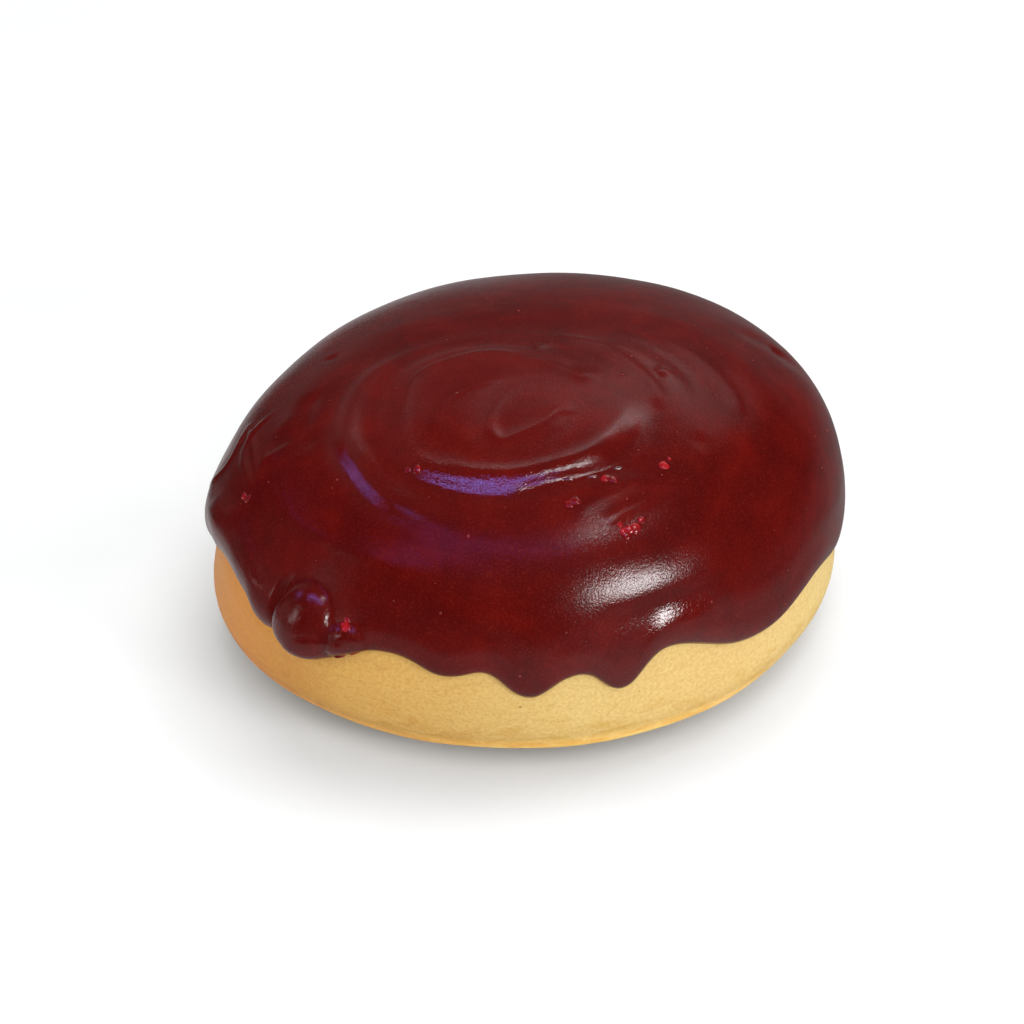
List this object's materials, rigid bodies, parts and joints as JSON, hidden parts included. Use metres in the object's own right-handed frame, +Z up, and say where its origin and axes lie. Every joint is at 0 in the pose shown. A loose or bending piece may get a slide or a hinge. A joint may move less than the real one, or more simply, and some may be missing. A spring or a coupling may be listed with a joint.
{
  "type": "boston cream doughnut",
  "caption": "Plump round yeast doughnut with a poured dark chocolate icing cap, swirled on top and running down in drips.",
  "frame": {"origin": "middle of the overall box at the level of the flat foot that it rests on", "axes": "+Z up through the dome, the short way through the doughnut; +X to the right and -Y to the front, where the icing's lumps are"},
  "size_m": [0.0938, 0.0938, 0.0464],
  "materials": {
    "dough": "satin",
    "icing": "gloss"
  },
  "bodies": {
    "root": {"dough": "dough", "icing": "icing"}
  },
  "joints": []
}
